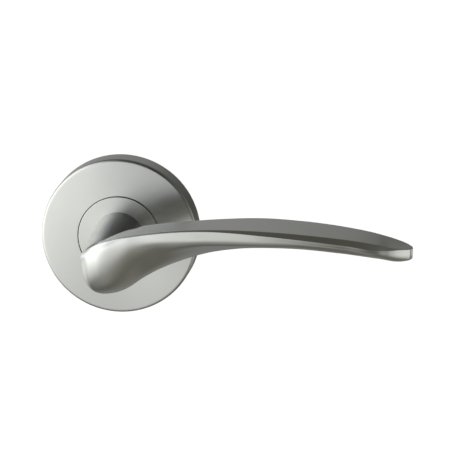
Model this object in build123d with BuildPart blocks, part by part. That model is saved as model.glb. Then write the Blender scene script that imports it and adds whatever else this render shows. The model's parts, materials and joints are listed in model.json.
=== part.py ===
from build123d import *
import math
import os

os.makedirs("parts", exist_ok=True)

# Lever handle on a round rose, the unit that sits on one face of a door.
# Millimetres. The spindle's axis is Y, the door's face is y = 0, the user is at -Y and Z is up.
# A height h is a distance out from the door's face, so h = -y.

# Rose cover
COVER_R_BACK = 33.05
COVER_R_FRONT = 32.5
COVER_H = 11.0
COVER_WALL = 1.2
COVER_FRONT = 1.4
COVER_CROWN = 0.15
COVER_HOLE_R = 17.15
COVER_EDGE_R = 1.2

# Mounting plate
PLATE_R = 31.0
PLATE_T = 2.5
RING_R_IN = 29.0
RING_H = 8.6
HUB_R = 12.0
HUB_H = 6.6
SPIGOT_R = 12.5
SPIGOT_DEPTH = 2.4
BUSH_R = 10.5

# Lever journal
JOURNAL_R = 8.5
JOURNAL_FLAT = 7.6
JOURNAL_END = -5.9
BUSH_BORE_R = 8.55
GROOVE_R = 7.7
GROOVE_H0 = -5.4
GROOVE_H1 = -4.3

# Lever neck and spindle socket
NECK_R_ROOT = 10.4
NECK_R_TOP = 8.6
NECK_H_TOP = 41.0
SOCKET = 8.1
SOCKET_H = 30.0
SPINDLE = 8.0
SPINDLE_H0 = -60.0
SPINDLE_H1 = 28.0
GRUB_H = 20.0
GRUB_R = 2.5
GRUB_Z = 9.0

# Return mechanism
ROTOR_H0 = 7.4
ROTOR_H1 = 9.0
ROTOR_R = 14.8
ARM_W = 4.0
TAB_W = 3.0
TAB_R0 = 21.5
TAB_R1 = 23.3
TAB_H = 2.9
WIRE_R = 0.7
COIL_R = 13.1
COIL_PITCH = 1.5
COIL_H = 3.35
COIL_TURNS = 2
LEG_X = 2.25
LEG_END_Z = 24.5
ANCHOR_R = 1.5
ANCHOR_Z = 18.5
STOP_R = 1.5
STOP_PCD_R = 22.0
STOP_ANGLE = 57.6
PIN_H = 7.1
STOP_H = 8.8

# Through-bolt pillars
PILLAR_X = 19.0
PILLAR_R = 3.75
PILLAR_LENGTH = 28.0
PILLAR_SEAT = 1.0
STEM_R = 2.6
RIVET_R = 3.6
RIVET_T = 1.6
BOLT_R = 2.0
BOLT_DEPTH = 24.0

# Cover clips
CLIP_W = 8.0
CLIP_R_IN = 28.2
CLIP_R_OUT = 31.2
CLIP_WALL = 0.9
CLIP_H = 7.6
CLIP_FLOOR = 1.2
NOTCH_W = 8.3


def ring(h0, h1, r_out, r_in=0.0):
    """A disc or ring about the spindle's axis between two heights."""
    with BuildSketch(Plane.XZ.offset(h0)) as profile:
        Circle(r_out)
        if r_in:
            Circle(r_in, mode=Mode.SUBTRACT)
    extrude(profile.sketch, amount=h1 - h0)


def turned(points, mode=Mode.ADD):
    """A body turned about the spindle's axis from (radius, height) corners."""
    with BuildSketch(Plane.XY) as profile:
        with BuildLine():
            Polyline([(r, -h) for r, h in points], close=True)
        make_face()
    revolve(profile.sketch, axis=Axis.Y, mode=mode)


def bore(h0, h1, radius, x=0.0, z=0.0):
    """A round hole along the spindle's direction between two heights."""
    with BuildSketch(Plane.XZ.offset(h0)) as profile:
        with Locations((x, z)):
            Circle(radius)
    extrude(profile.sketch, amount=h1 - h0, mode=Mode.SUBTRACT)


def post(h0, h1, radius, x, z):
    """A round post along the spindle's direction between two heights."""
    with BuildSketch(Plane.XZ.offset(h0)) as profile:
        with Locations((x, z)):
            Circle(radius)
    extrude(profile.sketch, amount=h1 - h0)


def flatted_bore(h0, h1):
    """A hole that keys on the journal's two flats."""
    with BuildSketch(Plane.XZ.offset(h0)) as profile:
        Circle(JOURNAL_R)
        Rectangle(2 * JOURNAL_FLAT, 3 * JOURNAL_R, mode=Mode.INTERSECT)
    extrude(profile.sketch, amount=h1 - h0, mode=Mode.SUBTRACT)


def polar(radius, degrees_from_top):
    """X and Z of a point at an angle from twelve o'clock, turning towards +X."""
    a = math.radians(degrees_from_top)
    return radius * math.sin(a), radius * math.cos(a)


# ---------------------------------------------------------------- lever handle
# The grip's sections stand across X. Each curve below gives one of their sizes at a few places (x, size).
CREASE_Y = ((-6.6, -57.0), (-4, -59.5), (1, -61.3), (9, -61.75), (20, -62.1), (32, -62.1), (46, -61.8),
            (61, -61.05), (91, -57.65), (106, -55.2), (109, -54.45), (112, -53.35), (115.5, -51.2),
            (118, -48.6))
CREASE_Z = ((-6.6, 4.2), (-4, 6.6), (1, 9.5), (9, 11.9), (20, 13.8), (32, 15.1), (46, 15.55), (56, 15.3),
            (64, 14.85), (84, 12.8), (102, 9.9), (108, 8.4), (112, 7.6), (118, 6.9))
BACK_Y = ((-6.6, -48), (-4, -44), (1, -41), (9, -39.8), (20, -41.4), (32, -43.2), (46, -44), (70, -44),
          (95, -43), (106, -42.9), (112, -43.2), (115.5, -44.4), (118, -47.0))
BACK_Z = ((-6.6, 4.0), (-4, 6.6), (1, 8.8), (9, 10.6), (20, 12.8), (32, 14.5), (46, 15.85), (61, 16.45),
          (76, 15.55), (91, 13.65), (104, 11.15), (112, 8.95), (118, 7.1))
BEVEL = ((-6.6, 0.3), (9, 0.42), (20, 0.5), (34, 0.65), (42, 0.8), (50, 1.15), (61, 1.75), (76, 2.25),
         (92, 2.5), (104, 2.3), (108, 1.3), (112, 0.6), (118, 0.4))
FACE = ((-6.6, 1.8), (-3, 3.0), (4, 4.0), (9, 3.5), (15, 2.8), (20, 3.2), (39, 3.6), (50, 3.1), (61, 2.3),
        (76, 1.6), (95, 1.4), (104, 1.5), (108, 1.8), (112, 2.2), (118, 2.4))
BROW_OUT = ((-6.6, 0.7), (-3, 0.9), (4, 0.7), (9, 0.3), (15, 0.2), (40, 0.2), (61, 0.05), (118, 0.0))
CHEEK_IN = ((-6.6, -0.3), (-3, -0.7), (4, -0.5), (9, 0.4), (15, 1.0), (20, 1.3), (28, 0.5), (39, 0.25),
            (50, -0.15), (61, -0.6), (76, -0.95), (95, -1.0), (105, -0.85), (112, 0.0), (118, 0.1))
CHEEK_Z = ((-6.6, -2.0), (-3, -1.5), (4, 0.3), (9, 2.9), (15, 5.2), (20, 6.9), (28, 8.5), (39, 9.55),
           (50, 9.9), (61, 9.9), (76, 9.55), (87, 8.4), (95, 7.3), (105, 5.3), (112, 3.7), (118, 3.6))
FOOT_IN = ((-6.6, 2.5), (-3, 3.5), (4, 3.7), (9, 4.6), (15, 5.0), (20, 5.0), (28, 3.3), (39, 1.8), (50, 1.0),
           (61, 0.1), (76, -0.45), (95, -0.6), (105, -0.3), (112, 0.4), (118, 0.6))
FOOT_Z = ((-6.6, -5.2), (-3, -8.4), (4, -8.2), (9, -4.9), (15, -1.2), (20, 1.5), (28, 5.3), (39, 8.3),
          (50, 9.0), (61, 9.3), (76, 9.0), (87, 7.9), (95, 6.8), (105, 4.75), (112, 3.1), (118, 3.0))
UNDER_Y = ((-6.6, -51), (9, -52.4), (39, -52), (61, -54), (76, -53.5), (95, -51.5), (105, -50), (112, -48.6),
           (118, -48.0))
UNDER_Z = ((-6.6, -6.4), (-3, -10.5), (4, -11.7), (9, -9.9), (15, -6.5), (20, -3.5), (28, 0.2), (39, 4.1),
           (50, 6.6), (61, 8.1), (76, 7.8), (87, 6.6), (95, 5.5), (105, 3.7), (112, 2.4), (118, 2.9))
STATIONS = (-6.6, -5.2, -3, 1, 6, 12, 19, 27, 36, 46, 57, 68, 79, 90, 100, 108, 114, 118)


def along(x, curve):
    """The value at x of a smooth curve through (x, value) points."""
    xs = [point[0] for point in curve]
    values = [point[1] for point in curve]
    rises = [(values[i + 1] - values[i]) / (xs[i + 1] - xs[i]) for i in range(len(xs) - 1)]
    slopes = [rises[0]]
    for i in range(1, len(rises)):
        before = xs[i] - xs[i - 1]
        after = xs[i + 1] - xs[i]
        slopes.append((rises[i - 1] * after + rises[i] * before) / (before + after))
    slopes.append(rises[-1])
    i = max(k for k in range(len(rises)) if k == 0 or x > xs[k])
    step = xs[i + 1] - xs[i]
    t = (x - xs[i]) / step
    start = (1 + 2 * t) * (1 - t) ** 2 * values[i] + t * (1 - t) ** 2 * step * slopes[i]
    end = t**2 * (3 - 2 * t) * values[i + 1] + t**2 * (t - 1) * step * slopes[i + 1]
    return start + end


def grip_section(x):
    """One closed section: a straight top and bevel each side of the crease, and a curved rest."""
    crease = (along(x, CREASE_Y), along(x, CREASE_Z))
    back = (along(x, BACK_Y), along(x, BACK_Z))
    bevel = along(x, BEVEL)
    edge = (crease[0] - 0.64 * bevel, crease[1] - 0.77 * bevel)
    brow = (edge[0] - along(x, BROW_OUT), edge[1] - along(x, FACE))
    cheek = (crease[0] + along(x, CHEEK_IN), along(x, CHEEK_Z))
    foot = (crease[0] + along(x, FOOT_IN), along(x, FOOT_Z))
    under = (along(x, UNDER_Y), along(x, UNDER_Z))
    heel = (back[0] - 0.12 * (back[0] - crease[0]), back[1] - 0.66 * (back[1] - under[1]))
    with BuildSketch(Plane.YZ.offset(x)) as section:
        with BuildLine():
            Line(back, crease)
            Line(crease, edge)
            Spline(edge, brow, cheek, foot, under, heel, back)
        make_face()
    return section.sketch


with BuildPart() as lever_handle:
    # Grip and elbow
    loft([grip_section(x) for x in STATIONS])
    # Neck, tapering out to a rounded end inside the elbow, and the journal behind it
    with BuildSketch(Plane.XY):
        with BuildLine():
            Line((0, -JOURNAL_END), (JOURNAL_R - 0.5, -JOURNAL_END))
            Line((JOURNAL_R - 0.5, -JOURNAL_END), (JOURNAL_R, -JOURNAL_END - 0.5))
            Line((JOURNAL_R, -JOURNAL_END - 0.5), (JOURNAL_R, -COVER_H))
            Line((JOURNAL_R, -COVER_H), (NECK_R_ROOT, -COVER_H))
            Line((NECK_R_ROOT, -COVER_H), (NECK_R_TOP, -NECK_H_TOP))
            Spline(
                (NECK_R_TOP, -NECK_H_TOP),
                (8.1, -47.0),
                (6.4, -53.5),
                (0, -58.0),
                tangents=[(-0.055, -1), (-1, 0)],
            )
            Line((0, -58.0), (0, -JOURNAL_END))
        make_face()
    revolve(axis=Axis.Y)
    # Two flats along the journal key the rotor
    with BuildSketch(Plane.XZ.offset(JOURNAL_END)):
        with Locations((JOURNAL_FLAT + 5, 0), (-JOURNAL_FLAT - 5, 0)):
            Rectangle(10, 30)
    extrude(amount=ROTOR_H1 - JOURNAL_END, mode=Mode.SUBTRACT)
    # Retaining-ring groove
    turned([(GROOVE_R, GROOVE_H0), (12, GROOVE_H0), (12, GROOVE_H1), (GROOVE_R, GROOVE_H1)], Mode.SUBTRACT)
    # Square socket for the spindle
    with BuildSketch(Plane.XZ.offset(JOURNAL_END)):
        Rectangle(SOCKET, SOCKET)
    extrude(amount=SOCKET_H - JOURNAL_END, mode=Mode.SUBTRACT)
    # Tapped hole for the grub screw, up through the neck's underside
    with BuildSketch(Plane.XY.offset(-14)):
        with Locations((0, -GRUB_H)):
            Circle(GRUB_R)
    extrude(amount=14, mode=Mode.SUBTRACT)
lever_handle.part.label = "lever_handle"
export_step(lever_handle.part, "parts/lever_handle.step")

# ---------------------------------------------------------------- pieces on the lever
with BuildPart() as collar_disc:
    ring(9.5, COVER_H, 16.9, JOURNAL_R)
    fillet(collar_disc.edges().filter_by(GeomType.CIRCLE).sort_by(lambda e: e.radius)[-2:], 0.15)
collar_disc.part.label = "collar_disc"
export_step(collar_disc.part, "parts/collar_disc.step")

with BuildPart() as spring_rotor:
    ring(ROTOR_H0, ROTOR_H1, ROTOR_R)
    # Arm over the spring's legs, with its end bent back between them
    with BuildSketch(Plane.XZ.offset(ROTOR_H0)):
        with Locations((0, TAB_R1 / 2)):
            Rectangle(ARM_W, TAB_R1)
    extrude(amount=ROTOR_H1 - ROTOR_H0)
    with BuildSketch(Plane.XZ.offset(TAB_H)):
        with Locations((0, (TAB_R0 + TAB_R1) / 2)):
            Rectangle(TAB_W, TAB_R1 - TAB_R0)
    extrude(amount=ROTOR_H1 - TAB_H)
    flatted_bore(ROTOR_H0, ROTOR_H1)
    # Two holes lighten the disc
    for side in (-1, 1):
        bore(ROTOR_H0, ROTOR_H1, 1.2, side * 11.8, 0)
spring_rotor.part.label = "spring_rotor"
export_step(spring_rotor.part, "parts/spring_rotor.step")

LEG_ANGLE = math.asin(LEG_X / COIL_R)
COIL_LENGTH = COIL_PITCH * (COIL_TURNS + LEG_ANGLE / math.pi)
with BuildLine() as coil:
    Helix(COIL_PITCH, COIL_LENGTH, COIL_R, center=(0, -COIL_H, 0), direction=(0, -1, 0))
# A helix along -Y starts at six o'clock, so it is turned to start at the right leg
coil_path = coil.line.rotate(Axis.Y, 180 + math.degrees(LEG_ANGLE))
with BuildPart() as return_spring:
    with BuildSketch(Plane(coil_path @ 0, z_dir=coil_path % 0)):
        Circle(WIRE_R)
    sweep(path=coil_path, is_frenet=True)
    for side, height in ((1, COIL_H), (-1, COIL_H + COIL_LENGTH)):
        with BuildSketch(Plane.XY.offset(COIL_R * math.cos(LEG_ANGLE) - WIRE_R)):
            with Locations((side * LEG_X, -height)):
                Circle(WIRE_R)
        extrude(amount=LEG_END_Z - COIL_R * math.cos(LEG_ANGLE) + WIRE_R)
return_spring.part.label = "return_spring"
export_step(return_spring.part, "parts/return_spring.step")

with BuildPart() as spindle:
    with BuildSketch(Plane.XZ.offset(SPINDLE_H0)):
        Rectangle(SPINDLE, SPINDLE)
    extrude(amount=SPINDLE_H1 - SPINDLE_H0)
    chamfer(spindle.faces().sort_by(Axis.Y)[0].edges(), 0.6)
    chamfer(spindle.faces().sort_by(Axis.Y)[-1].edges(), 0.6)
spindle.part.label = "spindle"
export_step(spindle.part, "parts/spindle.step")

with BuildPart() as grub_screw:
    with BuildSketch(Plane.XY.offset(-GRUB_Z)):
        with Locations((0, -GRUB_H)):
            Circle(GRUB_R)
    extrude(amount=GRUB_Z - SPINDLE / 2 - 0.05)
    chamfer(grub_screw.edges().filter_by(GeomType.CIRCLE).sort_by(Axis.Z)[-1], 0.4)
    with BuildSketch(Plane.XY.offset(-GRUB_Z)):
        with Locations((0, -GRUB_H)):
            RegularPolygon(1.25, 6, major_radius=False)
    extrude(amount=2.5, mode=Mode.SUBTRACT)
grub_screw.part.label = "grub_screw"
export_step(grub_screw.part, "parts/grub_screw.step")

with BuildPart() as thrust_washer:
    ring(-3.6, -3.1, 12.0, 8.6)
thrust_washer.part.label = "thrust_washer"
export_step(thrust_washer.part, "parts/thrust_washer.step")

with BuildPart() as cone_washer:
    turned([(8.65, -4.25), (11.4, -4.05), (11.4, -3.65), (8.65, -3.85)])
cone_washer.part.label = "cone_washer"
export_step(cone_washer.part, "parts/cone_washer.step")

with BuildPart() as retaining_ring:
    ring(GROOVE_H0 + 0.05, GROOVE_H1 - 0.05, 10.3, GROOVE_R + 0.05)
    # The ring is open at the bottom, with an eye at each end for pliers
    with BuildSketch(Plane.XZ.offset(GROOVE_H0 + 0.05)):
        with Locations((0, -10)):
            Rectangle(5, 9)
    extrude(amount=1.0, mode=Mode.SUBTRACT)
    for side in (-1, 1):
        post(GROOVE_H0 + 0.05, GROOVE_H1 - 0.05, 1.7, side * 3.9, -9.6)
    for side in (-1, 1):
        bore(GROOVE_H0 + 0.05, GROOVE_H1 - 0.05, 0.8, side * 3.9, -9.8)
retaining_ring.part.label = "retaining_ring"
export_step(retaining_ring.part, "parts/retaining_ring.step")

# ---------------------------------------------------------------- rose cover
with BuildPart() as rose_cover:
    inner_back = COVER_R_BACK - COVER_WALL
    inner_front = COVER_R_FRONT - COVER_WALL
    turned(
        [
            (inner_back, 0),
            (COVER_R_BACK, 0),
            (COVER_R_FRONT, COVER_H - COVER_CROWN),
            (COVER_HOLE_R, COVER_H),
            (COVER_HOLE_R, COVER_H - COVER_FRONT),
            (inner_front, COVER_H - COVER_CROWN - COVER_FRONT),
        ]
    )
    rings = rose_cover.edges().filter_by(GeomType.CIRCLE)
    rim = rings.filter_by(lambda e: abs(e.radius - COVER_R_FRONT) < 0.01)
    fillet(rim, COVER_EDGE_R)
    rings = rose_cover.edges().filter_by(GeomType.CIRCLE)
    hole_edge = rings.filter_by(lambda e: e.radius < COVER_HOLE_R + 0.01)
    fillet(hole_edge.sort_by(Axis.Y)[0], 0.25)
rose_cover.part.label = "rose_cover"
export_step(rose_cover.part, "parts/rose_cover.step")

# ---------------------------------------------------------------- mounting plate and what it carries
with BuildPart() as mounting_plate:
    ring(0, PLATE_T, PLATE_R)
    ring(PLATE_T, RING_H, PLATE_R, RING_R_IN)
    ring(PLATE_T, HUB_H, HUB_R)
    ring(-SPIGOT_DEPTH, 0, SPIGOT_R)
    bore(-SPIGOT_DEPTH, HUB_H, BUSH_R)
    # Three notches in the upstand take the cover clips
    with BuildSketch(Plane.XZ.offset(PLATE_T)):
        with PolarLocations(PLATE_R - 1, 3, start_angle=90):
            Rectangle(8, NOTCH_W)
    extrude(amount=RING_H - PLATE_T, mode=Mode.SUBTRACT)
    # Pillars: a seat in the back face and a riveted stem
    for side in (-1, 1):
        bore(0, PILLAR_SEAT, PILLAR_R, side * PILLAR_X)
        bore(PILLAR_SEAT, PLATE_T, STEM_R, side * PILLAR_X)
    # Blind holes for the three pins
    bore(0.5, PLATE_T, ANCHOR_R, 0, ANCHOR_Z)
    for side in (-1, 1):
        bore(0.5, PLATE_T, STOP_R, *polar(STOP_PCD_R, side * STOP_ANGLE))
    # Two wood-screw holes at the foot
    for side in (-1, 1):
        bore(0, PLATE_T, 2.1, *polar(22.0, 180 + side * 32))
mounting_plate.part.label = "mounting_plate"
export_step(mounting_plate.part, "parts/mounting_plate.step")

with BuildPart() as front_bush:
    ring(2.7, HUB_H, BUSH_R, BUSH_BORE_R)
    ring(HUB_H, HUB_H + 0.6, HUB_R, BUSH_BORE_R)
front_bush.part.label = "front_bush"
export_step(front_bush.part, "parts/front_bush.step")

with BuildPart() as rear_bush:
    ring(-SPIGOT_DEPTH, 2.2, BUSH_R, BUSH_BORE_R)
    ring(-SPIGOT_DEPTH - 0.6, -SPIGOT_DEPTH, 12.2, BUSH_BORE_R)
rear_bush.part.label = "rear_bush"
export_step(rear_bush.part, "parts/rear_bush.step")


def make_pillar(side):
    """A threaded pillar riveted into the plate."""
    with BuildPart() as pillar:
        post(-PILLAR_LENGTH, PILLAR_SEAT, PILLAR_R, side * PILLAR_X, 0)
        post(PILLAR_SEAT, PLATE_T, STEM_R, side * PILLAR_X, 0)
        post(PLATE_T, PLATE_T + RIVET_T, RIVET_R, side * PILLAR_X, 0)
        chamfer(pillar.edges().filter_by(GeomType.CIRCLE).sort_by(Axis.Y)[-1], 0.5)
        fillet(pillar.edges().filter_by(GeomType.CIRCLE).sort_by(Axis.Y)[0], 0.6)
        bore(-PILLAR_LENGTH, BOLT_DEPTH - PILLAR_LENGTH, BOLT_R, side * PILLAR_X)
    return pillar


bolt_pillar_left = make_pillar(-1)
bolt_pillar_left.part.label = "bolt_pillar_left"
export_step(bolt_pillar_left.part, "parts/bolt_pillar_left.step")
bolt_pillar_right = make_pillar(1)
bolt_pillar_right.part.label = "bolt_pillar_right"
export_step(bolt_pillar_right.part, "parts/bolt_pillar_right.step")


def make_pin(radius, top, x, z):
    """A dowel pressed in a blind hole of the plate."""
    with BuildPart() as pin:
        post(0.5, top, radius, x, z)
        chamfer(pin.edges().filter_by(GeomType.CIRCLE).sort_by(Axis.Y)[0], 0.3)
    return pin


spring_anchor_pin = make_pin(ANCHOR_R, PIN_H, 0, ANCHOR_Z)
spring_anchor_pin.part.label = "spring_anchor_pin"
export_step(spring_anchor_pin.part, "parts/spring_anchor_pin.step")
stop_pin_left = make_pin(STOP_R, STOP_H, *polar(STOP_PCD_R, -STOP_ANGLE))
stop_pin_left.part.label = "stop_pin_left"
export_step(stop_pin_left.part, "parts/stop_pin_left.step")
stop_pin_right = make_pin(STOP_R, STOP_H, *polar(STOP_PCD_R, STOP_ANGLE))
stop_pin_right.part.label = "stop_pin_right"
export_step(stop_pin_right.part, "parts/stop_pin_right.step")


def make_clip(angle):
    """A U-shaped nylon clip standing in one notch; its outer leaf holds the cover."""
    middle = (CLIP_R_IN + CLIP_R_OUT) / 2
    with BuildPart() as clip:
        with BuildSketch(Plane.XZ.offset(PLATE_T)):
            Circle(CLIP_R_OUT)
            Circle(CLIP_R_IN, mode=Mode.SUBTRACT)
            with PolarLocations(middle, 1, start_angle=angle):
                Rectangle(CLIP_W, CLIP_W, mode=Mode.INTERSECT)
        extrude(amount=CLIP_H - PLATE_T)
        with BuildSketch(Plane.XZ.offset(PLATE_T + CLIP_FLOOR)):
            Circle(CLIP_R_OUT - CLIP_WALL)
            Circle(CLIP_R_IN + CLIP_WALL, mode=Mode.SUBTRACT)
            with PolarLocations(middle, 1, start_angle=angle):
                Rectangle(2 * CLIP_W, 2 * CLIP_W, mode=Mode.INTERSECT)
        extrude(amount=CLIP_H, mode=Mode.SUBTRACT)
    return clip


cover_clip_top = make_clip(90)
cover_clip_top.part.label = "cover_clip_top"
export_step(cover_clip_top.part, "parts/cover_clip_top.step")
cover_clip_left = make_clip(210)
cover_clip_left.part.label = "cover_clip_left"
export_step(cover_clip_left.part, "parts/cover_clip_left.step")
cover_clip_right = make_clip(330)
cover_clip_right.part.label = "cover_clip_right"
export_step(cover_clip_right.part, "parts/cover_clip_right.step")
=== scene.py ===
import json
import math

import bmesh
import bpy
import numpy as np
from mathutils import Matrix, Vector


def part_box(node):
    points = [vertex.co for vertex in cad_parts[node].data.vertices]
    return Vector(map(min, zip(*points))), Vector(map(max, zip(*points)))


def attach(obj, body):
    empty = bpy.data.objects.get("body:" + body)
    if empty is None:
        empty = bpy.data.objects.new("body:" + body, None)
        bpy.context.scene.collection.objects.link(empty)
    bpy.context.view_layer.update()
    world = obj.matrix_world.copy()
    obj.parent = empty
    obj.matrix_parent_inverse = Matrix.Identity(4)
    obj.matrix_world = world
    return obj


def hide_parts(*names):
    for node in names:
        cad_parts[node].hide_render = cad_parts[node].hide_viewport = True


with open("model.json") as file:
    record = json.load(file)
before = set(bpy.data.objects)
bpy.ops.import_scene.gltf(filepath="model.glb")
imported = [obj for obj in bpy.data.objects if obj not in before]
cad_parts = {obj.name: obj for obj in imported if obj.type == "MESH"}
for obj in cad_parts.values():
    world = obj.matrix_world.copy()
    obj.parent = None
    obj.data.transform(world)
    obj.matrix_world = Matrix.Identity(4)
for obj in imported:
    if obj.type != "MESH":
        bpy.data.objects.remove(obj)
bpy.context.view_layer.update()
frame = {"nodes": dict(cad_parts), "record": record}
nodes = frame["nodes"]
scene = bpy.context.scene
MM = 0.001


# ---------------------------------------------------------------- mesh tools
def mesh_object(name, vertices, faces, material):
    """A smooth-shaded mesh piece from vertices in millimetres."""
    mesh = bpy.data.meshes.new(name)
    mesh.from_pydata([tuple(c * MM for c in v) for v in vertices], [], faces)
    mesh.update()
    piece = bpy.data.objects.new(name, mesh)
    scene.collection.objects.link(piece)
    bm = bmesh.new()
    bm.from_mesh(mesh)
    bmesh.ops.recalc_face_normals(bm, faces=bm.faces)
    bm.to_mesh(mesh)
    bm.free()
    mesh.polygons.foreach_set("use_smooth", [True] * len(mesh.polygons))
    mesh.materials.append(material)
    return piece


def loft(name, loops, material):
    """Quads between loops that all have the same number of points; the ends are filled."""
    count = len(loops[0])
    vertices = [point for loop in loops for point in loop]
    faces = []
    for row in range(len(loops) - 1):
        a, b = row * count, (row + 1) * count
        for i in range(count):
            j = (i + 1) % count
            faces.append((a + i, a + j, b + j, b + i))
    last = (len(loops) - 1) * count
    faces.append(tuple(range(count)))
    faces.append(tuple(last + i for i in reversed(range(count))))
    return mesh_object(name, vertices, faces, material)


def spun(name, profile, material, steps=192):
    """A closed profile of (radius, y) points turned about the spindle's axis."""
    profile = held(profile)
    loops = []
    for k in range(steps):
        a = 2 * math.pi * k / steps
        loops.append([(r * math.cos(a), y, r * math.sin(a)) for r, y in profile])
    count = len(profile)
    vertices = [point for loop in loops for point in loop]
    faces = []
    for k in range(steps):
        a, b = k * count, (k + 1) % steps * count
        for i in range(count):
            j = (i + 1) % count
            faces.append((a + i, a + j, b + j, b + i))
    return mesh_object(name, vertices, faces, material)


def rounded(corners, arc_steps=6):
    """A closed outline from (x, y, radius) corners, each rounded to its radius."""
    points = []
    count = len(corners)
    for i, (x, y, radius) in enumerate(corners):
        here = Vector((x, y))
        before = (Vector(corners[i - 1][:2]) - here).normalized()
        after = (Vector(corners[(i + 1) % count][:2]) - here).normalized()
        if radius <= 0:
            points.append((x, y))
            continue
        half = before.angle(after) / 2
        reach = radius / math.tan(half)
        centre = here + (before + after).normalized() * radius / math.sin(half)
        start = here + before * reach - centre
        end = here + after * reach - centre
        sweep = start.angle_signed(end)
        for step in range(arc_steps + 1):
            turned = start.copy()
            turned.rotate(Matrix.Rotation(-sweep * step / arc_steps, 2))
            points.append(tuple(centre + turned))
    return points


def held(outline, gap=0.12):
    """Adds a point close to each end of the long straight runs, to keep the faces flat when shaded."""
    points = []
    for i, point in enumerate(outline):
        here, there = Vector(point), Vector(outline[(i + 1) % len(outline)])
        run = (there - here).length
        points.append(tuple(here))
        if run > 5 * gap:
            points.append(tuple(here.lerp(there, gap / run)))
            points.append(tuple(there.lerp(here, gap / run)))
    return points


def along(x, curve):
    """The value at x of a smooth curve through (x, value) points."""
    xs = [point[0] for point in curve]
    values = [point[1] for point in curve]
    rises = [(values[i + 1] - values[i]) / (xs[i + 1] - xs[i]) for i in range(len(xs) - 1)]
    slopes = [rises[0]]
    for i in range(1, len(rises)):
        before = xs[i] - xs[i - 1]
        after = xs[i + 1] - xs[i]
        slopes.append((rises[i - 1] * after + rises[i] * before) / (before + after))
    slopes.append(rises[-1])
    i = max(k for k in range(len(rises)) if k == 0 or x > xs[k])
    step = xs[i + 1] - xs[i]
    t = (x - xs[i]) / step
    start = (1 + 2 * t) * (1 - t) ** 2 * values[i] + t * (1 - t) ** 2 * step * slopes[i]
    end = t**2 * (3 - 2 * t) * values[i + 1] + t**2 * (t - 1) * step * slopes[i + 1]
    return start + end


def smoothstep(low, high, value):
    t = min(1.0, max(0.0, (value - low) / (high - low)))
    return t * t * (3 - 2 * t)


def spline_points(control, samples):
    """Points on a natural cubic spline through control points, at even chord length."""
    p = np.array(control, float)
    t = np.concatenate(([0.0], np.cumsum(np.linalg.norm(np.diff(p, axis=0), axis=1))))
    n = len(p)
    h = np.diff(t)
    matrix = np.eye(n)
    right = np.zeros((n, p.shape[1]))
    for i in range(1, n - 1):
        matrix[i, i - 1 : i + 2] = (h[i - 1], 2 * (h[i - 1] + h[i]), h[i])
        right[i] = 6 * ((p[i + 1] - p[i]) / h[i] - (p[i] - p[i - 1]) / h[i - 1])
    bend = np.linalg.solve(matrix, right)
    result = []
    for u in np.array(samples) * t[-1]:
        i = min(n - 2, max(0, int(np.searchsorted(t, u) - 1)))
        a, b = t[i + 1] - u, u - t[i]
        point = (bend[i] * a**3 + bend[i + 1] * b**3) / (6 * h[i])
        point += (p[i] / h[i] - bend[i] * h[i] / 6) * a
        point += (p[i + 1] / h[i] - bend[i + 1] * h[i] / 6) * b
        result.append(point)
    return result


# ---------------------------------------------------------------- materials
class Graph:
    """A short way to write a material's nodes."""

    def __init__(self, name):
        self.material = bpy.data.materials.new(name)
        self.material.use_nodes = True
        self.tree = self.material.node_tree
        self.shader = self.tree.nodes["Principled BSDF"]
        self.place = self.add("ShaderNodeTexCoord").outputs["Object"]

    def add(self, kind, **settings):
        node = self.tree.nodes.new(kind)
        for key, value in settings.items():
            setattr(node, key, value)
        return node

    def link(self, source, target):
        self.tree.links.new(source, target)

    def noise(self, scale, detail=2.0, roughness=0.5):
        node = self.add("ShaderNodeTexNoise")
        node.inputs["Scale"].default_value = scale
        node.inputs["Detail"].default_value = detail
        node.inputs["Roughness"].default_value = roughness
        self.link(self.place, node.inputs["Vector"])
        return node.outputs["Fac"]

    def spread(self, source, low, high):
        """Maps the middle of a noise's range to low..high."""
        node = self.add("ShaderNodeMapRange")
        for key, value in zip(("From Min", "From Max", "To Min", "To Max"), (0.3, 0.7, low, high)):
            node.inputs[key].default_value = value
        self.link(source, node.inputs["Value"])
        return node.outputs["Result"]

    def mix(self, factor, first, second):
        node = self.add("ShaderNodeMix", data_type="RGBA")
        for socket, value in ((node.inputs[6], first), (node.inputs[7], second)):
            if isinstance(value, tuple):
                socket.default_value = (*value, 1)
            else:
                self.link(value, socket)
        self.link(factor, node.inputs[0])
        return node.outputs[2]

    def bump(self, height, distance):
        node = self.add("ShaderNodeBump")
        node.inputs["Strength"].default_value = 1.0
        node.inputs["Distance"].default_value = distance
        self.link(height, node.inputs["Height"])
        self.link(node.outputs["Normal"], self.shader.inputs["Normal"])


METAL_GLOSS_SPREAD = 0.015
PLASTIC_GLOSS_SPREAD = 0.05
PLASTIC_GRAIN = 2600
PLASTIC_GRAIN_DEPTH = 0.00002
PLASTIC_CLOUD = 90


def metal(name, dark, light, rough, grain, grain_depth, cloud=60, brushed=0.0):
    """Bare or plated metal: soft colour clouds, uneven gloss and a fine grain."""
    g = Graph(name)
    g.shader.inputs["Metallic"].default_value = 1.0
    clouds = g.noise(cloud, detail=3)
    fine = g.noise(grain, detail=2, roughness=0.6)
    g.link(g.mix(g.spread(clouds, 0, 1), dark, light), g.shader.inputs["Base Color"])
    gloss = g.spread(fine, rough - METAL_GLOSS_SPREAD, rough + METAL_GLOSS_SPREAD)
    g.link(gloss, g.shader.inputs["Roughness"])
    g.bump(fine, grain_depth)
    if brushed:
        # Fine rings round the spindle's axis, which spread the gloss across them and not along them
        g.shader.inputs["Anisotropic"].default_value = brushed
        g.shader.inputs["Anisotropic Rotation"].default_value = 0.25
        rings = g.add("ShaderNodeTangent", direction_type="RADIAL", axis="Y")
        g.link(rings.outputs["Tangent"], g.shader.inputs["Tangent"])
    return g.material


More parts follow.
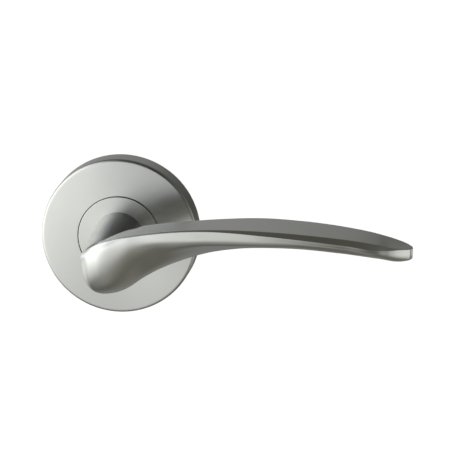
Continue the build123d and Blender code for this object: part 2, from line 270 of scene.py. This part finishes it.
def plastic(name, dark, light, rough):
    """Moulded plastic with a faint spark-eroded grain."""
    g = Graph(name)
    fine = g.noise(PLASTIC_GRAIN, detail=3)
    g.link(g.mix(g.spread(g.noise(PLASTIC_CLOUD), 0, 1), dark, light), g.shader.inputs["Base Color"])
    gloss = g.spread(fine, rough - PLASTIC_GLOSS_SPREAD, rough + PLASTIC_GLOSS_SPREAD)
    g.link(gloss, g.shader.inputs["Roughness"])
    g.shader.inputs["Subsurface Weight"].default_value = 0.05
    g.shader.inputs["Subsurface Radius"].default_value = (0.001, 0.001, 0.001)
    g.bump(fine, PLASTIC_GRAIN_DEPTH)
    return g.material


# The cover's and collar's copy of the satin plating is ring-brushed, and its colour is set a little darker
# than the lever's as painted shade.
ring_plating_painted_shade = metal("satin_plating_rings_painted_shade", (0.56, 0.56, 0.543), (0.585, 0.585, 0.568), 0.29, 3200, 0.0000003,
                brushed=0.7)
satin = metal("satin_plating", (0.61, 0.61, 0.59), (0.635, 0.635, 0.615), 0.29, 3200, 0.0000003)
cast = metal("cast_plate", (0.40, 0.41, 0.42), (0.50, 0.51, 0.52), 0.48, 1800, 0.00002, cloud=150)
zinc = metal("zinc_steel", (0.50, 0.53, 0.57), (0.63, 0.65, 0.67), 0.32, 2600, 0.000008, cloud=220)
spring_steel = metal("spring_steel", (0.16, 0.16, 0.17), (0.26, 0.26, 0.28), 0.34, 3000, 0.000008)
black_steel = metal("black_steel", (0.035, 0.035, 0.04), (0.06, 0.06, 0.065), 0.42, 2600, 0.000008)
nylon = plastic("nylon", (0.74, 0.74, 0.69), (0.82, 0.82, 0.78), 0.45)
BY_SLOT = {
    "satin_plating": satin,
    "cast_plate": cast,
    "zinc_steel": zinc,
    "spring_steel": spring_steel,
    "black_steel": black_steel,
    "nylon": nylon,
}
for row in frame["record"]["subparts"]:
    node = nodes[row["node"]]
    node.data.materials.clear()
    node.data.materials.append(BY_SLOT[row["material_slot"]])


def finish_piece(piece, body, slot, *replaced):
    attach(piece, body)
    if replaced:
        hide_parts(*replaced)


# ---------------------------------------------------------------- rose cover and collar disc
low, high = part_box("rose_cover")
cover_r = high.x / MM
cover_y = low.y / MM
# The looks stand this far inside the CAD's faces
SKIN = 0.02
FRONT_R = cover_r - 0.56
RIM_ROUND = 1.2
COVER_WALL = 1.2
FRONT_WALL = 1.4
HOLE_R = 17.15
CROWN_START_R = 17.5
CROWN_WIDTH = 15
CROWN_DIP = 0.3
CROWN_POINTS = 27
COVER_STEPS = 256
COLLAR_STEPS = 192
NECK_SEAT_R = 8.6


def crown(r):
    """The cover's front dips a little towards its rim."""
    return cover_y + SKIN + CROWN_DIP * (max(0.0, r - CROWN_START_R) / CROWN_WIDTH) ** 2


cover_profile = rounded(
    [
        (cover_r - 0.05, -SKIN, 0.25),
        (FRONT_R, crown(FRONT_R), RIM_ROUND),
        *((r, crown(r), 0) for r in np.linspace(31.0, 17.7, CROWN_POINTS)),
        (HOLE_R, cover_y + SKIN, 0.22),
        (HOLE_R, cover_y + FRONT_WALL, 0.1),
        (cover_r - 1.9, cover_y + 1.75, 0.5),
        (cover_r - COVER_WALL, -SKIN, 0.15),
    ],
    8,
)
cover = spun("cover_shell", cover_profile, ring_plating_painted_shade, COVER_STEPS)
finish_piece(cover, "cover", "satin_plating", "rose_cover")

low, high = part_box("collar_disc")
disc_r = high.x / MM
collar = spun(
    "collar_face",
    rounded(
        [
            (NECK_SEAT_R, low.y / MM + SKIN, 0),
            (disc_r, low.y / MM + SKIN, 0.18),
            (disc_r, high.y / MM, 0.1),
            (NECK_SEAT_R, high.y / MM, 0),
        ],
        6,
    ),
    ring_plating_painted_shade,
    COLLAR_STEPS,
)
finish_piece(collar, "lever", "satin_plating", "collar_disc")

# ---------------------------------------------------------------- lever: neck, elbow and grip
# The grip's sections stand across X, each a flat top behind a crisp crease, a narrow bevel in front
# of it and a curved rest. The elbow's sections fan round a pivot between the grip's and the neck's.
CREASE_Y = ((9, -61.75), (20, -62.1), (32, -62.1), (46, -61.8), (61, -61.05), (91, -57.65), (106, -55.2),
            (109, -54.45), (112, -53.35), (114.2, -52.15), (115.8, -50.95), (116.7, -49.95), (117.3, -48.7))
CREASE_Z = ((9, 11.9), (20, 13.8), (32, 15.1), (46, 15.55), (56, 15.3), (64, 14.85), (84, 12.8), (102, 9.9),
            (105, 9.2), (108, 8.3), (112, 7.6), (117.3, 6.9))
BACK_Y = ((9, -39.8), (20, -41.4), (32, -43.2), (46, -44), (70, -44), (95, -43), (106, -42.9), (112, -43.2),
          (115, -43.9), (116.5, -44.9), (117.3, -46.3))
BACK_Z = ((9, 10.6), (20, 12.8), (32, 14.5), (46, 15.85), (61, 16.45), (76, 15.55), (91, 13.65), (104, 11.15),
          (112, 8.95), (117.3, 7.2))
BEVEL = ((9, 0.42), (20, 0.5), (34, 0.65), (42, 0.8), (50, 1.15), (61, 1.75), (76, 2.25), (92, 2.5),
         (104, 2.3), (108, 1.3), (112, 0.5), (117.3, 0.25))
TILT = ((9, 0.12), (32, 0.12), (48, 0.07), (64, 0.0), (117.3, 0.0))
FACE = ((9, 2.6), (20, 3.2), (39, 3.9), (50, 3.2), (61, 2.3), (76, 1.6), (95, 1.4), (104, 1.3), (108, 1.6),
        (112, 2.3), (117.3, 2.5))
CHEEK_IN = ((9, 0.6), (15, 1.0), (20, 1.3), (28, 0.5), (39, 0.25), (50, -0.15), (61, -0.6), (76, -0.95),
            (95, -1.0), (105, -0.85), (112, 0.0), (117.3, 0.1))
CHEEK_Z = ((9, 3.3), (15, 5.2), (20, 6.9), (28, 8.5), (39, 9.55), (50, 9.9), (61, 9.9), (76, 9.55), (87, 8.4),
           (95, 7.3), (105, 5.3), (112, 3.7), (117.3, 3.2))
FOOT_IN = ((9, 4.6), (15, 5.0), (20, 5.0), (28, 3.3), (39, 1.8), (50, 1.0), (61, 0.1), (76, -0.45),
           (95, -0.6), (105, -0.3), (112, 0.4), (117.3, 0.5))
FOOT_Z = ((9, -4.6), (15, -1.2), (20, 1.5), (28, 5.3), (39, 8.3), (50, 9.0), (61, 9.3), (76, 9.0), (87, 7.9),
          (95, 6.8), (105, 4.75), (112, 3.1), (117.3, 2.6))
UNDER_Y = ((9, -52.4), (39, -52), (61, -54), (76, -53.5), (95, -51.5), (105, -50), (112, -48.6),
           (117.3, -47.5))
UNDER_Z = ((9, -9.7), (15, -6.5), (20, -3.5), (28, 0.2), (39, 4.1), (50, 6.6), (61, 8.1), (76, 7.8),
           (87, 6.6), (95, 5.5), (105, 3.7), (112, 2.4), (117.3, 2.4))

PIVOT = (15.0, -35.0)
TIP_START_X = 108
TIP_X = 117.3
NECK_FOOT_Y = -11.0
NECK_FLARE = 0.12
NECK_FLARE_LENGTH = 0.4
NECK_R = ((-60, 7.9), (-50, 8.1), (-41, 8.6), (-30, 9.3), (-11, 10.4))
TOP_STEPS = 34
BEVEL_STEPS = 6
REST_STEPS = 120
FAIR_PASSES = 30
FAIR_ROWS = 24
# The bevel falls away from the crease along this direction across the grip, as (y, z)
BEVEL_FALL = (-0.64, -0.77)
ELBOW_BEVEL = 0.42
ELBOW_CROWN = 0.7
# The grip's flat top ends in a step above the neck, along this fan angle
STEP_START = 47.0
STEP_END = 50.5


def ease_ends(count):
    """Numbers from 0 to 1 that bunch up at both ends."""
    return [0.5 - 0.5 * math.cos(math.pi * i / count) for i in range(count + 1)]


def rest_of_loop(edge, corners):
    return spline_points([edge, *corners], ease_ends(REST_STEPS))[1:-1]


def bevel_points(crease, edge):
    return [crease + (edge - crease) * k / BEVEL_STEPS for k in range(1, BEVEL_STEPS + 1)]


def round_corners(loop, passes):
    """Takes the sharpness off a loop's corners."""
    p = np.array(loop)
    for _ in range(passes):
        p = 0.25 * np.roll(p, 1, axis=0) + 0.5 * p + 0.25 * np.roll(p, -1, axis=0)
    return p


def grip_corners(x):
    """The section's corners across the grip, as (y, z), from the crease round to the back edge."""
    crease = np.array((along(x, CREASE_Y), along(x, CREASE_Z)))
    back = np.array((along(x, BACK_Y), along(x, BACK_Z)))
    edge = crease + along(x, BEVEL) * np.array(BEVEL_FALL)
    low_z = along(x, UNDER_Z)
    tall = back[1] - low_z
    deep = back[0] - crease[0]
    return {
        "crease": crease,
        "edge": edge,
        "face": edge + np.array((-along(x, TILT), -0.5 * along(x, FACE))),
        "brow": edge + np.array((-0.5 * along(x, TILT), -along(x, FACE))),
        "cheek": np.array((crease[0] + along(x, CHEEK_IN), along(x, CHEEK_Z))),
        "foot": np.array((crease[0] + along(x, FOOT_IN), along(x, FOOT_Z))),
        "under": np.array((along(x, UNDER_Y), low_z)),
        "heel": np.array((back[0] - 0.12 * deep, back[1] - 0.66 * tall)),
        "inner": np.array((back[0] - 0.2, back[1] - 0.32 * tall)),
        "back": back,
    }


def section_loop(flat, corner):
    """The flat top, the bevel and the curved rest of one section, as (across, height)."""
    points = list(flat) + bevel_points(corner["crease"], corner["edge"])
    rest = [corner[key] for key in ("face", "brow", "cheek", "foot", "under", "heel", "inner")]
    points += rest_of_loop(corner["edge"], [*rest, flat[0]])
    return round_corners(points, 2)


def grip_loop(x):
    corner = grip_corners(x)
    flat = [corner["back"] + (corner["crease"] - corner["back"]) * t for t in ease_ends(TOP_STEPS)]
    return [(x, y, z) for y, z in section_loop(flat, corner)]


# The elbow's corners by fan angle in degrees, as (angle, distance out from the pivot, height).
# The last entry of each is the grip's first section.
first = grip_corners(PIVOT[0])
ELBOW = {
    "crease": ((0, 20.55, 7.0), (20, 21.8, 6.3), (35, 25.8, 5.0), (45.5, 30.3, 4.4), (50, 31.2, 5.6),
               (54, 31.0, 7.1), (62, 29.8, 9.5), (75, 27.8, 11.65)),
    "brow": ((0, 23.4, 3.1), (20, 24.2, 3.0), (34, 26.8, 2.4), (46, 30.9, 1.8), (53, 32.0, 3.4),
             (62, 31.0, 5.4), (76, 28.45, 7.1)),
    "cheek": ((0, 23.65, -2.3), (20, 24.3, -2.4), (34, 26.8, -2.7), (46, 30.2, -3.0), (53, 31.4, -1.9),
              (62, 30.5, -0.4), (76, 27.85, 2.3)),
    "foot": ((0, 20.2, -7.35), (20, 21.0, -7.1), (34, 24.2, -8.0), (46, 27.2, -9.4), (53, 28.0, -9.7),
             (62, 26.9, -8.5), (76, 24.2, -5.5)),
    "under": ((0, 15.0, -8.98), (20, 15.9, -8.7), (34, 18.0, -9.7), (46, 19.8, -11.4), (53, 20.3, -12.1),
              (62, 19.8, -11.7), (76, 17.9, -9.7)),
    "heel": ((0, 7.6, -5.2), (20, 8.0, -5.1), (40, 8.6, -5.3), (62, 8.4, -5.6), (75, 8.0, -4.0)),
    "inner": ((0, 6.05, 0.8), (30, 5.95, 1.2), (50, 5.8, 2.2), (75, 5.6, 4.8)),
    "back": ((45, 9.6, 10.2), (55, 8.5, 10.6), (62, 7.6, 10.8), (75, 6.3, 11.3)),
}
for key, entries in ELBOW.items():
    ELBOW[key] = entries + ((90, PIVOT[1] - first[key][0], first[key][1]),)


def elbow_corner(key, angle):
    distance = along(angle, [(a, d) for a, d, h in ELBOW[key]])
    height = along(angle, [(a, h) for a, d, h in ELBOW[key]])
    return np.array((distance, height))


def neck_surface(x, angle):
    """(distance, height) on top of the neck at x, in the section at a fan angle."""
    a = math.radians(angle)
    distance = (PIVOT[0] - x) / math.cos(a)
    radius = along(PIVOT[1] - distance * math.sin(a), NECK_R)
    return np.array((distance, math.sqrt(max(0.0, radius**2 - x**2))))


def elbow_loop(angle):
    """A section at a fan angle: 0 is square to the neck and 90 is the grip's first section."""
    a = math.radians(angle)
    corner = {key: elbow_corner(key, angle) for key in ELBOW}
    crease, back = corner["crease"], corner["back"]
    corner["edge"] = crease + ELBOW_BEVEL * np.array((-BEVEL_FALL[0], BEVEL_FALL[1]))
    corner["face"] = 0.5 * (corner["edge"] + corner["brow"])
    corner["face"] = corner["face"] + np.array((0.28 - 0.13 * smoothstep(55, 90, angle), 0.0))
    steps = ease_ends(TOP_STEPS)
    rise = ELBOW_CROWN * (1 - smoothstep(50, 70, angle))
    flat = [back + (crease - back) * t + np.array((0.0, rise * 4 * t * (1 - t))) for t in steps]
    flatness = smoothstep(STEP_START, STEP_END, angle)
    if flatness < 1:
        # Before the step, the top is the neck's own round surface, bent down to meet the crease
        start_x = 0.7 * along(PIVOT[1] - 12 * math.sin(a), NECK_R)
        end_x = PIVOT[0] - crease[0] * math.cos(a)
        over = [neck_surface(start_x + (end_x - start_x) * t, angle) for t in steps]
        drop = crease - over[-1]
        over = [point + drop * t**3 for point, t in zip(over, steps)]
        flat = [o + (f - o) * flatness for o, f in zip(over, flat)]
    section = section_loop(flat, corner)
    return [(PIVOT[0] - d * math.cos(a), PIVOT[1] - d * math.sin(a), h) for d, h in section]


def neck_loop(y):
    """The elbow's first section, moved back along the neck and scaled to the neck's radius there."""
    radius = along(y, NECK_R)
    scale = radius / along(PIVOT[1], NECK_R)
    roundness = smoothstep(PIVOT[1], PIVOT[1] + 8, y)
    flare = NECK_FLARE * max(0.0, 1 - (NECK_FOOT_Y - y) / NECK_FLARE_LENGTH) ** 2
    loop = []
    for x, _, z in elbow_loop(0):
        reach = math.hypot(x, z)
        reach = reach * scale * (1 - roundness) + radius * roundness + flare
        angle = math.atan2(z, x)
        loop.append((reach * math.cos(angle), y, reach * math.sin(angle)))
    return loop


def fair(loops, passes, first_row, last_row):
    """Evens the surface along its length between two rows, without moving the rows outside them."""
    p = np.array(loops)
    weight = np.zeros(len(p))
    rows = np.arange(first_row, last_row)
    weight[rows] = np.sin(np.pi * (rows - first_row + 0.5) / len(rows)) ** 0.5
    weight = weight[1:-1, None, None]
    for _ in range(passes):
        p[1:-1] += weight * 0.5 * (0.5 * (p[:-2] + p[2:]) - p[1:-1])
    return [[tuple(point) for point in loop] for loop in p]


# Rows crowd together at the neck's foot, at the grip's step and at the tip
loops = [neck_loop(NECK_FOOT_Y - step) for step in (0, 0.06, 0.14, 0.24, 0.4, 0.8)]
loops += [neck_loop(y) for y in np.linspace(-12.5, PIVOT[1], 24, endpoint=False)]
angles = list(np.linspace(0, 46, 34, endpoint=False)) + list(np.linspace(46, 52, 16, endpoint=False))
angles += list(np.linspace(52, 90, 34, endpoint=False))
loops += [elbow_loop(angle) for angle in angles]
after_elbow = len(loops)
loops += [grip_loop(x) for x in np.linspace(PIVOT[0], TIP_START_X, 130, endpoint=False)]
tip_steps = np.sin(np.linspace(0, math.pi / 2, 30))
loops += [grip_loop(x) for x in TIP_START_X + (TIP_X - TIP_START_X) * tip_steps]
loops = fair(loops, FAIR_PASSES, after_elbow - FAIR_ROWS, after_elbow + FAIR_ROWS)
# The tip closes in a small round
last = np.array(loops[-1])
centre = last.mean(axis=0)
for inset, out in ((0.96, 0.2), (0.88, 0.38), (0.75, 0.5), (0.5, 0.57), (0.2, 0.6)):
    loops.append([tuple(p) for p in centre + (last - centre) * inset + np.array((out, 0, 0))])
lever = loft("lever_casting", loops, satin)

# The tapped hole for the grub screw, cut up through the neck's underside
low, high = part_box("grub_screw")
grub = (low + high) / 2 / MM
GRUB_HOLE_R = 2.5
GRUB_HOLE_POINTS = 48
cutter_loops = []
for z in (low.z / MM - 6, low.z / MM + 5):
    turns = [math.tau * k / GRUB_HOLE_POINTS for k in range(GRUB_HOLE_POINTS)]
    ring = [(grub.x + GRUB_HOLE_R * math.cos(a), grub.y + GRUB_HOLE_R * math.sin(a), z) for a in turns]
    cutter_loops.append(ring)
cutter = loft("hole_cutter", cutter_loops, black_steel)
cut = lever.modifiers.new("hole", "BOOLEAN")
cut.object = cutter
cut.operation = "DIFFERENCE"
cut.solver = "EXACT"
graph = bpy.context.evaluated_depsgraph_get()
cut_mesh = bpy.data.meshes.new_from_object(lever.evaluated_get(graph))
lever.modifiers.clear()
lever.data = cut_mesh
bpy.data.objects.remove(cutter)
finish_piece(lever, "lever", "satin_plating", "lever_handle")

# The journal behind the collar, with two flats, the ring groove and the square socket
JOURNAL_R = 8.5
JOURNAL_FLAT = 7.6
JOURNAL_POINTS = 96
JOURNAL_START_Y = -10.9
JOURNAL_END_Y = 5.9
GROOVE_R = 7.7
GROOVE_Y = (4.3, 5.4)
SOCKET_HALF = 4.05
SOCKET_MOUTH_HALF = 4.35
SOCKET_MOUTH_Y = 5.6
SOCKET_DEPTH_Y = -29.9


def journal_loop(y, radius):
    loop = []
    for k in range(JOURNAL_POINTS):
        a = math.tau * (k + 0.5) / JOURNAL_POINTS
        x = radius * math.cos(a)
        loop.append((min(JOURNAL_FLAT, max(-JOURNAL_FLAT, x)), y, radius * math.sin(a)))
    return loop


def square_loop(y, half):
    loop = []
    for k in range(JOURNAL_POINTS):
        a = math.tau * (k + 0.5) / JOURNAL_POINTS
        reach = half / max(abs(math.cos(a)), abs(math.sin(a)))
        loop.append((reach * math.cos(a), y, reach * math.sin(a)))
    return loop


journal_loops = [journal_loop(y, r) for y, r in (
    (JOURNAL_START_Y, JOURNAL_R),
    (4.25, JOURNAL_R),
    (GROOVE_Y[0], 8.45),
    (GROOVE_Y[0], GROOVE_R),
    (GROOVE_Y[1], GROOVE_R),
    (GROOVE_Y[1], 8.3),
    (5.45, 8.35),
    (5.6, 8.3),
    (JOURNAL_END_Y, 8.0),
)]
journal_loops += [
    square_loop(JOURNAL_END_Y, SOCKET_MOUTH_HALF),
    square_loop(SOCKET_MOUTH_Y, SOCKET_HALF),
    square_loop(SOCKET_DEPTH_Y, SOCKET_HALF),
]
journal = loft("lever_journal", journal_loops, satin)
for polygon in journal.data.polygons:
    polygon.use_smooth = False
finish_piece(journal, "lever", "satin_plating")

# ---------------------------------------------------------------- floor, light and camera
floor_mesh = bpy.data.meshes.new("floor")
REACH = 40.0
FLOOR_Z = -0.6
corners = [(x * REACH, y * REACH, FLOOR_Z) for x, y in ((-1, -1), (1, -1), (1, 1), (-1, 1))]
floor_mesh.from_pydata(corners, [], [(0, 1, 2, 3)])
floor = bpy.data.objects.new("floor", floor_mesh)
scene.collection.objects.link(floor)
paper = bpy.data.materials.new("white_paper")
paper.use_nodes = True
paper_shader = paper.node_tree.nodes["Principled BSDF"]
paper_shader.inputs["Base Color"].default_value = (0.9, 0.9, 0.9, 1)
paper_shader.inputs["Roughness"].default_value = 0.9
paper_shader.inputs["Emission Color"].default_value = (1, 1, 1, 1)
paper_shader.inputs["Emission Strength"].default_value = 0.75
floor_mesh.materials.append(paper)
floor.visible_glossy = False

# World: a white surround for the eye, and a studio of soft panels for the metal to mirror.
# Azimuth runs from -180 to 180 degrees, 0 towards the viewer and positive to the right.
PLAIN = (0.985, 1.0, 0.975)
WARM = (1.0, 0.985, 0.84)
COOL = (0.84, 0.91, 1.0)
PEAK = 3.0
LOW_PANELS = ((-180, 0.10, WARM), (-158, 0.25, PLAIN), (-135, 1.4, PLAIN), (-95, 1.5, PLAIN),
              (-60, 2.4, PLAIN), (-34, 2.2, PLAIN), (-20, 1.6, PLAIN), (-14, 1.12, PLAIN),
              (-9, 1.18, PLAIN), (-5, 1.25, PLAIN), (-1, 1.1, PLAIN), (5, 0.75, PLAIN),
              (12, 0.38, PLAIN), (20, 0.14, WARM), (38, 0.09, WARM), (47, 0.15, PLAIN),
              (55, 1.25, PLAIN), (90, 1.2, PLAIN), (106, 1.2, PLAIN), (126, 0.2, WARM),
              (168, 0.08, WARM), (180, 0.10, WARM))
MID_PANELS = ((-180, 0.28, PLAIN), (-164, 0.34, PLAIN), (-100, 1.3, PLAIN), (-60, 2.4, PLAIN),
              (-32, 2.1, PLAIN), (-24, 2.1, PLAIN), (-18, 2.05, PLAIN), (-13, 1.75, COOL),
              (-9, 1.0, COOL), (-3, 0.25, COOL), (4, 0.05, COOL), (14, 0.015, WARM),
              (40, 0.02, WARM), (52, 0.45, PLAIN), (90, 0.6, PLAIN), (98, 0.1, WARM),
              (158, 0.09, WARM), (170, 0.24, PLAIN), (180, 0.28, PLAIN))
HIGH_PANELS = ((-180, 0.33, PLAIN), (-172, 0.35, PLAIN), (-130, 0.4, PLAIN), (-100, 0.7, PLAIN),
               (-60, 2.2, PLAIN), (-35, 1.8, PLAIN), (-24, 1.1, COOL), (-15, 0.2, COOL),
               (-6, 0.02, COOL), (10, 0.003, COOL), (40, 0.01, WARM), (50, 0.2, PLAIN),
               (86, 0.22, PLAIN), (96, 0.08, WARM), (158, 0.09, WARM), (172, 0.31, PLAIN),
               (180, 0.33, PLAIN))
GROUND = ((-180, 0.30, PLAIN), (-120, 0.14, PLAIN), (-80, 0.22, PLAIN), (-40, 0.26, PLAIN),
          (-5, 0.35, PLAIN), (12, 0.32, WARM), (36, 0.20, WARM), (67, 0.16, WARM),
          (120, 0.26, WARM), (180, 0.30, PLAIN))
NADIR = (0.15, 0.147, 0.122)
OVERHEAD = (0.095, 0.092, 0.073)

world = bpy.data.worlds.new("studio")
scene.world = world
world.use_nodes = True
wt = world.node_tree
wt.nodes.clear()


def wnode(kind, *inputs, **settings):
    node = wt.nodes.new(kind)
    for key, value in settings.items():
        setattr(node, key, value)
    for i, value in enumerate(inputs):
        if hasattr(value, "links"):
            wt.links.new(value, node.inputs[i])
        elif value is not None:
            node.inputs[i].default_value = value
    return node


def math_node(operation, *inputs):
    return wnode("ShaderNodeMath", *inputs, operation=operation).outputs[0]


direction = wnode("ShaderNodeTexCoord").outputs["Generated"]
axes = wnode("ShaderNodeSeparateXYZ", direction).outputs
azimuth = math_node("ARCTAN2", axes[0], math_node("MULTIPLY", axes[1], -1.0))
turn = math_node("MULTIPLY_ADD", azimuth, 1 / math.tau, 0.5)
rise = math_node("MULTIPLY", math_node("ARCSINE", axes[2]), 180 / math.pi)


def panels(stops):
    """Colour round the horizon from (azimuth, brightness, tint) stops, as a part of PEAK."""
    node = wnode("ShaderNodeValToRGB", turn)
    ramp = node.color_ramp
    ramp.interpolation = "LINEAR"
    while len(ramp.elements) < len(stops):
        ramp.elements.new(0.5)
    for element, (degrees, value, tint) in zip(ramp.elements, stops):
        element.position = (degrees + 180) / 360
    for element, (degrees, value, tint) in zip(ramp.elements, stops):
        element.color = (*(value * part / PEAK for part in tint), 1)
    return node.outputs["Color"]


def band(low_degrees, high_degrees):
    """0 below low_degrees of elevation and 1 above high_degrees, smoothly."""
    edges = (low_degrees, high_degrees, 0.0, 1.0)
    return wnode("ShaderNodeMapRange", rise, *edges, interpolation_type="SMOOTHSTEP").outputs[0]


def blend(factor, below, above):
    node = wt.nodes.new("ShaderNodeMix")
    node.data_type = "RGBA"
    # Inputs 6 and 7 and output 2 are the mix node's colours
    for socket, value in ((node.inputs[6], below), (node.inputs[7], above)):
        if isinstance(value, tuple):
            socket.default_value = (*(part / PEAK for part in value), 1)
        else:
            wt.links.new(value, socket)
    wt.links.new(factor, node.inputs[0])
    return node.outputs[2]


light = blend(band(-88, -60), NADIR, panels(GROUND))
light = blend(band(-52, -5), light, panels(LOW_PANELS))
light = blend(band(-4, 4), light, panels(MID_PANELS))
light = blend(band(8, 17), light, panels(HIGH_PANELS))
light = blend(band(38, 60), light, OVERHEAD)
studio = wnode("ShaderNodeBackground", light, PEAK)
surround = wnode("ShaderNodeBackground", (1, 1, 1, 1), 1.0)
to_eye = wnode("ShaderNodeLightPath").outputs["Is Camera Ray"]
choice = wnode("ShaderNodeMixShader", to_eye, studio.outputs[0], surround.outputs[0])
wt.links.new(choice.outputs[0], wnode("ShaderNodeOutputWorld").inputs["Surface"])

CAMERA_AZIMUTH = math.radians(4.44)
CAMERA_ELEVATION = math.radians(13.06)
CAMERA_DISTANCE = 0.5
AIM_RIGHT = 0.0452
AIM_UP = 0.0005
camera_data = bpy.data.cameras.new("camera")
camera_data.lens = 92.58
camera_data.sensor_width = 36
camera_data.clip_start = 0.01
camera = bpy.data.objects.new("camera", camera_data)
scene.collection.objects.link(camera)
look = Vector((
    -math.sin(CAMERA_AZIMUTH) * math.cos(CAMERA_ELEVATION),
    math.cos(CAMERA_AZIMUTH) * math.cos(CAMERA_ELEVATION),
    -math.sin(CAMERA_ELEVATION),
))
right = Vector((math.cos(CAMERA_AZIMUTH), math.sin(CAMERA_AZIMUTH), 0))
up = right.cross(look)
place = Matrix((right, up, -look)).transposed().to_4x4()
place.translation = right * AIM_RIGHT + up * AIM_UP - look * CAMERA_DISTANCE
camera.matrix_world = place
scene.camera = camera
scene.view_settings.view_transform = "Standard"
